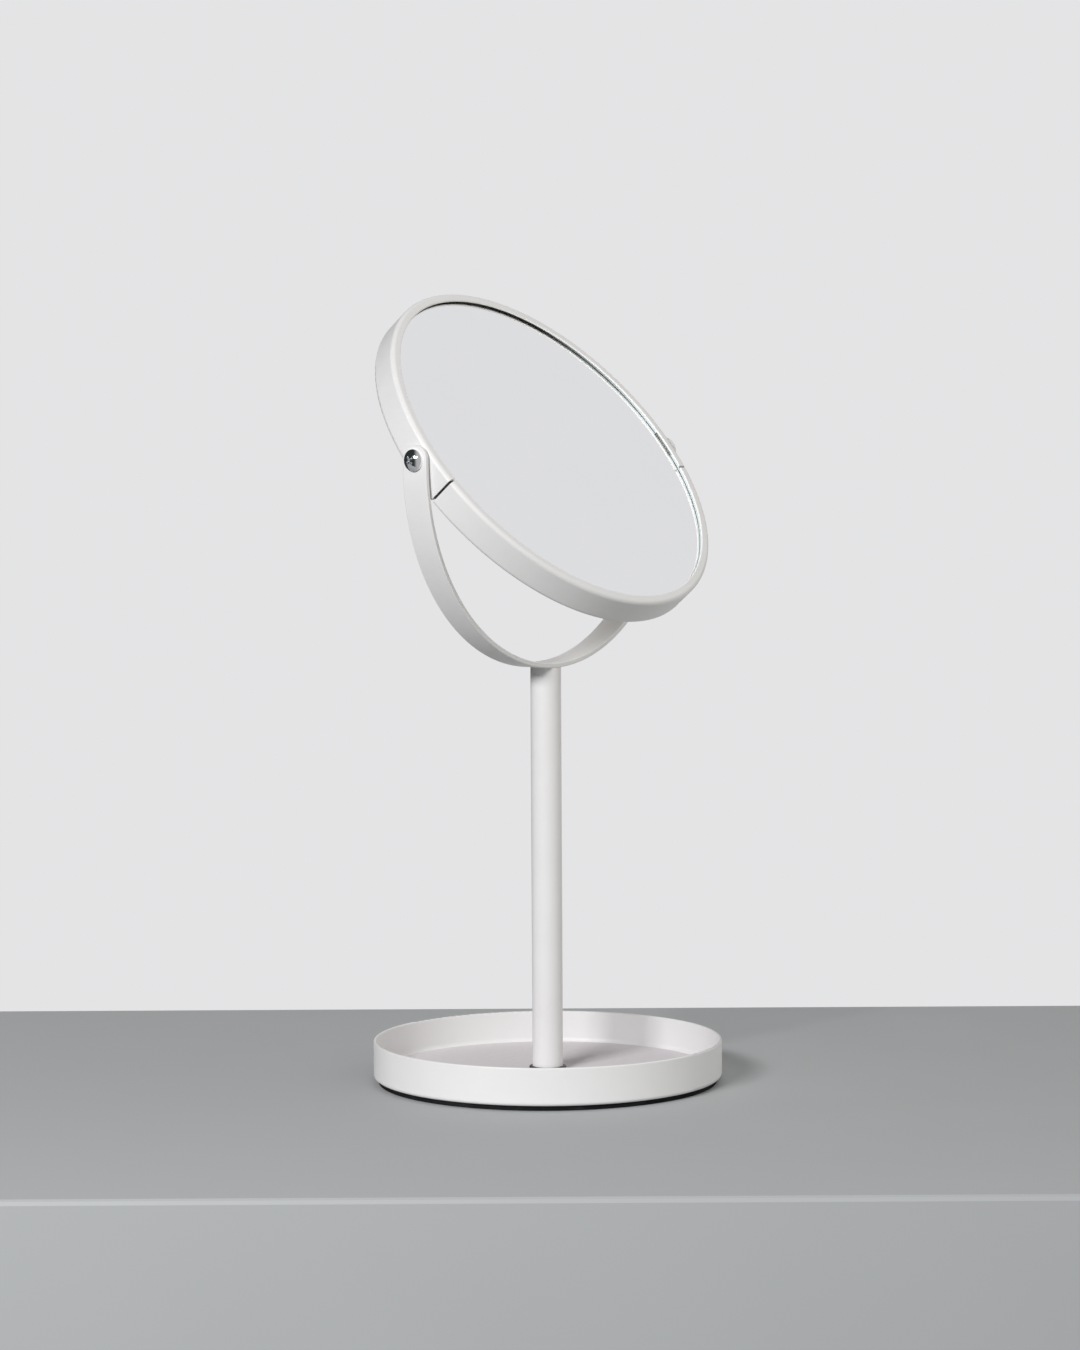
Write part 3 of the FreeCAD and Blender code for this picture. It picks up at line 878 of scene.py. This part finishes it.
@dataclass
class BaseScrew:
    """Flat-headed socket screw under the foot."""

    head_radius: float = 7.5 * MM
    head_height: float = 1.5 * MM
    socket_radius: float = 2.3 * MM
    socket_depth: float = 1.8 * MM
    drill_point: float = 0.4
    edge_round: float = 0.25 * MM
    screw: Screw = field(
        default_factory=lambda: Screw(
            shank_radius=3.0 * MM, pitch=1.0 * MM, thread_depth=0.6 * MM
        )
    )

    def build(self, finish: bpy.types.Material) -> None:
        """Model the screw head down and let it stand for the plain one.

        Args:
            finish: Its plating.
        """
        low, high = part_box("base_screw")
        seat = low.z + self.head_height
        Modeller.clear()
        bpy.ops.mesh.primitive_cylinder_add(
            vertices=self.screw.facets,
            radius=self.head_radius,
            depth=self.head_height,
            location=(0.0, 0.0, self.head_height / 2),
        )
        bpy.ops.object.transform_apply(location=True, rotation=True, scale=True)
        model = Modeller("base_screw_socket")
        self.screw.build_shank(model, high.z - seat)
        bpy.ops.object.mode_set(mode="OBJECT")
        model.cut(self.build_socket())
        model.soften(self.edge_round, 60.0)
        place = Matrix.Translation((0.0, 0.0, seat)) @ Matrix.Rotation(math.pi, 4, "X")
        model.finish(place, Body.STAND, finish, Slot.ZINC)
        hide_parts("base_screw")

    def build_socket(self) -> bpy.types.Object:
        """Hexagonal cutter with a drilled point.

        Returns:
            The cutter.
        """
        Modeller.clear()
        bpy.ops.mesh.primitive_cylinder_add(
            vertices=6,
            radius=self.socket_radius,
            depth=2 * self.socket_depth,
            location=(0.0, 0.0, self.head_height),
        )
        bpy.ops.object.transform_apply(location=True, rotation=True, scale=True)
        socket = Modeller("socket")
        socket.bottom_face()
        Modeller.extrude(-self.drill_point * self.socket_radius, 0.05)
        bpy.ops.object.mode_set(mode="OBJECT")
        return socket.piece


@dataclass
class Foot:
    """Round tray with its liner, pad, spacer and screw."""

    coat: bpy.types.Material
    zinc: bpy.types.Material
    base_screw: BaseScrew = field(default_factory=BaseScrew)

    def dress(self) -> None:
        """Finish every piece of the foot."""
        dress("tray", self.coat)
        dress("tray_mat", Felt("mauve_felt").make())
        # The pad is black rubber, and its nearly black colour also paints the deep shade under the
        # tray.
        rubber = Foam("non_slip_rubber_painted_shade", (0.008, 0.008, 0.009), (0.020, 0.020, 0.021))
        dress("foot_pad", rubber.make())
        dress("foot_spacer", Moulded("spacer_nylon", (0.018, 0.018, 0.020)).make())

    def build(self) -> None:
        """Model the base screw."""
        self.base_screw.build(self.zinc)


@dataclass
class Stem:
    """Straight tube with its two threaded plugs."""

    coat: bpy.types.Material
    zinc: bpy.types.Material

    def dress(self) -> None:
        """Finish the tube and its plugs."""
        dress("stem_tube", self.coat)
        dress("stem_plug_lower", self.zinc)
        dress("stem_plug_upper", self.zinc)


@dataclass
class Yoke:
    """Half ring of flat bar and its painted-over screw."""

    coat: bpy.types.Material

    def dress(self) -> None:
        """Finish the bar and the screw."""
        dress("yoke", self.coat)
        dress("yoke_screw", self.coat)


@dataclass
class MirrorHead:
    """Ring, glasses and everything between them."""

    coat: bpy.types.Material
    zinc: bpy.types.Material
    seat: Matrix
    glass_thickness: float = 2.0 * MM
    silver_thickness: float = 0.02 * MM
    silver_below: float = 0.30 * MM
    silver_setback: float = 0.005 * MM
    upright: float = 0.9

    @property
    def glass_radius(self) -> float:
        """Radius of both glasses."""
        _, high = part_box("mirror_front")
        return high.x

    def dress(self) -> None:
        """Finish every piece of the head."""
        dress("ring_upper", self.coat)
        dress("ring_lower", self.coat)
        dress("pivot_nuts", self.zinc)
        # The joiners are blackened steel, and their dark colour also paints the shade in the seams
        # between the ring's arcs.
        dress("ring_joiners", BlackenedSteelAndShade("blackened_steel_seam_shade").make())
        dress("glass_spacer", Foam("spacer_foam", cell_size=0.2 * MM).make())
        # The gaskets carry painted light and shade: pale below, dark at the top.
        gasket = PaintedLightFoam("gasket_foam", self.seat, self.glass_radius).make()
        dress("gasket_front", gasket)
        dress("gasket_back", gasket)
        nylon = Moulded("washer_nylon", (0.80, 0.79, 0.74), glow=0.3)
        dress("friction_washers", nylon.make())

    def glaze(self) -> None:
        """Faces, ground rims and backing paint of both glasses, and a silver layer in each."""
        face = GlassFace("glass_face", self.seat).make()
        edge = GroundEdge("ground_edge", self.seat).make()
        backing = BackingPaint("backing_paint", self.seat).make()
        silver = Silvering("silvering", self.seat, self.glass_radius).make()
        facing = self.seat.to_3x3() @ Vector((0.0, 0.0, 1.0))
        for node, name, outward in (
            ("mirror_front", "front_silvering", facing),
            ("mirror_back", "rear_silvering", -facing),
        ):
            dress(node, face, edge, backing)
            for polygon in FRAME["nodes"][node].data.polygons:
                lean = polygon.normal.dot(outward)
                polygon.material_index = self.part_of_glass(lean).value
            self.build_silvering(node, name, outward, silver)

    def part_of_glass(self, lean: float) -> GlassPart:
        """Which part of a glass a face belongs to.

        Args:
            lean: Cosine of the angle between its normal and the mirror's direction.

        Returns:
            The part.
        """
        if lean > self.upright:
            return GlassPart.FACE
        if lean < -self.upright:
            return GlassPart.BACKING
        return GlassPart.EDGE

    def build_silvering(
        self, node: str, name: str, outward: Vector, silver: bpy.types.Material
    ) -> None:
        """Silver layer of a glass, a little below its face.

        Args:
            node: The glass.
            name: Name of the layer.
            outward: Direction that the mirror faces.
            silver: Finish of the layer.
        """
        layer = bpy.data.objects.new(name, FRAME["nodes"][node].data.copy())
        bpy.context.scene.collection.objects.link(layer)
        Modeller.clear()
        layer.select_set(True)
        bpy.context.view_layer.objects.active = layer
        model = Modeller(name)
        bpy.ops.object.mode_set(mode="EDIT")
        bpy.ops.mesh.select_all(action="SELECT")
        bpy.ops.mesh.remove_doubles(threshold=1e-6)
        model.pick_faces(lambda face: face.normal.dot(outward) > -self.upright)
        bpy.ops.mesh.delete(type="FACE")
        bpy.ops.object.mode_set(mode="OBJECT")
        solid = layer.modifiers.new("thicken", "SOLIDIFY")
        solid.thickness = self.silver_thickness
        solid.offset = 0.0
        model.apply(solid.name)
        radius = max(corner.co.x for corner in layer.data.vertices)
        grown = (self.glass_radius - self.silver_setback) / radius
        spread = Matrix.Diagonal((grown, grown, 1.0, 1.0))
        lift = Matrix.Translation(outward * (self.glass_thickness - self.silver_below))
        place = lift @ self.seat @ spread @ self.seat.inverted()
        model.finish(place, Body.MIRROR, silver, Slot.GLASS)


# ---------------------------------------------------------------- studio


class Room(Graph):
    """Light of the room by direction, as the world's node tree."""

    def __init__(self, tree: bpy.types.NodeTree) -> None:
        """Take over the world's tree.

        Args:
            tree: Node tree with the background in it.
        """
        super().__init__(tree)
        self.place = self.add("ShaderNodeTexCoord").outputs["Generated"]
        self.path = self.add("ShaderNodeLightPath")

    def seen_by(self, ray: str) -> Socket:
        """Whether the background is met by one kind of ray.

        Args:
            ray: Name of that output of the light path.

        Returns:
            The value socket.
        """
        return self.path.outputs[ray]

    def towards(self, direction: Direction, source: Range = (0.0, 1.0)) -> Socket:
        """How nearly one looks towards a side of the room.

        Args:
            direction: The side.
            source: Cosines of the angles at which the value leaves 0 and reaches 1.

        Returns:
            The value, from 0 to 1.
        """
        along = self.add("ShaderNodeVectorMath", operation="DOT_PRODUCT")
        along.inputs[1].default_value = Vector(direction).normalized()
        self.feed(along.inputs[0], self.place)
        return self.spread(along.outputs["Value"], source)

    def added(self, base: Colour | Socket, amount: Socket, colour: Colour) -> Socket:
        """Base colour with an amount of another one added.

        Args:
            base: The base colour.
            amount: The amount.
            colour: The other colour.

        Returns:
            The sum.
        """
        node = self.add("ShaderNodeVectorMath", operation="MULTIPLY_ADD")
        self.feed(node.inputs[0], amount)
        node.inputs[1].default_value = colour
        self.feed(node.inputs[2], base)
        return node.outputs["Vector"]

    def finish(self, colour: Socket) -> None:
        """Give the background its colour."""
        self.feed(self.nodes["Background"].inputs["Color"], colour)


@dataclass(frozen=True)
class Glow:
    """Soft light of the room from one side, falling off with the angle from it."""

    direction: Direction
    level: Colour


@dataclass
class Camera:
    """Viewpoint: a long lens a little above the head of the mirror."""

    azimuth: float = -52.475
    distance: float = 1.6778
    height: float = 0.2984
    yaw: float = 0.081
    pitch: float = 4.398
    roll: float = -0.312
    lens: float = 108.42
    sensor: float = 36.0

    def build(self) -> None:
        """Make the camera and use it."""
        data = bpy.data.cameras.new("camera")
        data.sensor_fit = "VERTICAL"
        data.sensor_height = self.sensor
        data.lens = self.lens
        camera = bpy.data.objects.new("camera", data)
        bpy.context.scene.collection.objects.link(camera)
        round_stem = Matrix.Rotation(math.radians(self.azimuth), 4, "Z")
        place = Matrix.Translation(round_stem @ Vector((0.0, -self.distance, self.height)))
        heading = Matrix.Rotation(math.radians(self.azimuth + self.yaw), 4, "Z")
        look = Matrix.Rotation(math.radians(90.0 - self.pitch), 4, "X")
        lean = Matrix.Rotation(math.radians(self.roll), 4, "Z")
        camera.matrix_world = place @ heading @ look @ lean
        bpy.context.scene.camera = camera


@dataclass
class Studio:
    """Pale table top, one soft lamp from the upper left and an even pale surround.

    The camera sees the surround. Matt surfaces get the ambient light and the glows. Reflections
    show the gloss, which turns to mirrored on the bright side and to shade on the dark side, and
    thrown_back is what a mirror throws on to a matt surface.
    """

    azimuth: float = -52.475
    table_behind: float = 0.19
    table_before: float = 0.24
    table_half_width: float = 1.2
    table_thickness: float = 0.12
    table_drop: float = 0.05 * MM
    table_colour: Colour = (0.465, 0.480, 0.495)
    table_edge_round: float = 2 * MM
    table_tone_size: float = 60 * MM
    surround: Colour = (0.775, 0.775, 0.785)
    ambient: Colour = (0.020, 0.020, 0.020)
    glows: tuple[Glow, ...] = (
        Glow((0.0, 0.0, 1.0), (0.205, 0.200, 0.195)),
        Glow((0.609, -0.793, 0.0), (0.870, 0.870, 0.820)),
    )
    mirrored: Colour = (0.735, 0.735, 0.750)
    thrown_back: Colour = (1.000, 0.950, 0.860)
    gloss: Colour = (0.500, 0.500, 0.500)
    shade: Colour = (0.030, 0.035, 0.035)
    bright_side: Direction = (0.793, -0.200, 0.578)
    bright_range: Range = (0.3, 0.9)
    dark_side: Direction = (-0.53, 0.85, 0.0)
    dark_range: Range = (0.15, 0.50)
    lamp_direction: Direction = (-0.903, -0.132, 0.407)
    lamp_distance: float = 2.0
    lamp_width: float = 0.72
    lamp_height: float = 0.3
    lamp_level: float = 0.83
    lamp_target: Direction = (0.0, 0.0, 0.16)

    def build(self) -> None:
        """Set up the table, the lamp and the surround."""
        self.build_table()
        self.build_lamp()
        self.build_surround()
        bpy.context.scene.view_settings.view_transform = "Standard"

    def build_table(self) -> None:
        """Table top with softened edges, its far edge a little behind the foot."""
        depth = self.table_behind + self.table_before
        centre = (self.table_behind - self.table_before) / 2
        Modeller.clear()
        bpy.ops.mesh.primitive_cube_add(size=1.0)
        table = Modeller("table_top")
        table.piece.scale = (2 * self.table_half_width, depth, self.table_thickness)
        table.piece.location = (0.0, centre, -self.table_thickness / 2 - self.table_drop)
        bpy.ops.object.transform_apply(location=True, rotation=True, scale=True)
        table.piece.data.transform(Matrix.Rotation(math.radians(self.azimuth), 4, "Z"))
        table.soften(self.table_edge_round, 60.0)
        recipe = Recipe("matt_table")
        tone = recipe.noise(self.table_tone_size, 5.0)
        recipe.settle(
            Base_Color=recipe.blend(tone, toned(self.table_colour, 0.97), self.table_colour),
            Roughness=recipe.spread(tone, (0.3, 0.7), (0.60, 0.72)),
        )
        table.piece.data.materials.append(recipe.material)

    def build_lamp(self) -> None:
        """Wide soft lamp aimed at the middle of the object."""
        data = bpy.data.lights.new("key_lamp", "AREA")
        data.shape = "RECTANGLE"
        data.size = self.lamp_width
        data.size_y = self.lamp_height
        data.energy = self.lamp_level * (math.pi * self.lamp_distance) ** 2
        lamp = bpy.data.objects.new("key_lamp", data)
        bpy.context.scene.collection.objects.link(lamp)
        towards = Vector(self.lamp_direction).normalized()
        lamp.location = Vector(self.lamp_target) + towards * self.lamp_distance
        lamp.rotation_mode = "QUATERNION"
        lamp.rotation_quaternion = towards.to_track_quat("Z", "Y")

    def build_surround(self) -> None:
        """Soft room light, one pale tone behind the object and another one in reflections."""
        world = bpy.data.worlds.new("surround")
        bpy.context.scene.world = world
        world.use_nodes = True
        room = Room(world.node_tree)
        light = self.ambient
        for glow in self.glows:
            light = room.added(light, room.towards(glow.direction), glow.level)
        bright = room.towards(self.bright_side, self.bright_range)
        dark = room.towards(self.dark_side, self.dark_range)
        shine = room.blend(dark, room.blend(bright, self.gloss, self.mirrored), self.shade)
        shine = room.blend(room.seen_by("Diffuse Depth"), shine, self.thrown_back)
        colour = room.blend(room.seen_by("Is Glossy Ray"), light, shine)
        colour = room.blend(room.seen_by("Is Camera Ray"), colour, self.surround)
        room.finish(room.blend(room.seen_by("Is Transmission Ray"), colour, self.surround))


def head_seat(tilt: float = 39.65) -> Matrix:
    """Frame of the tilted head: X along the tilt axis, Z out of the plain mirror.

    Args:
        tilt: How far the plain mirror looks up, in degrees.

    Returns:
        Its place and turn.
    """
    pivot = Vector(FRAME["joints"][0]["pos_m"])
    return Matrix.Translation(pivot) @ Matrix.Rotation(math.radians(90.0 - tilt), 4, "X")


def main() -> None:
    """Build the sub-assemblies in order, from the table up."""
    logging.basicConfig(level=logging.INFO, format="%(name)s %(message)s")
    seat = head_seat()
    coat = PowderCoat("white_powder_coat_finish").make()
    zinc = Plating("zinc_plating", (0.60, 0.61, 0.62), (0.68, 0.67, 0.62), (0.22, 0.38)).make()
    chrome = Plating("bright_chrome", (0.86, 0.87, 0.89), (0.78, 0.79, 0.81), (0.05, 0.12)).make()
    foot = Foot(coat, zinc)
    foot.dress()
    foot.build()
    Stem(coat, zinc).dress()
    Yoke(coat).dress()
    head = MirrorHead(coat, zinc, seat)
    head.dress()
    head.glaze()
    PivotScrews(seat).build(chrome)
    Studio().build()
    Camera().build()


if __name__ == "__main__":
    main()
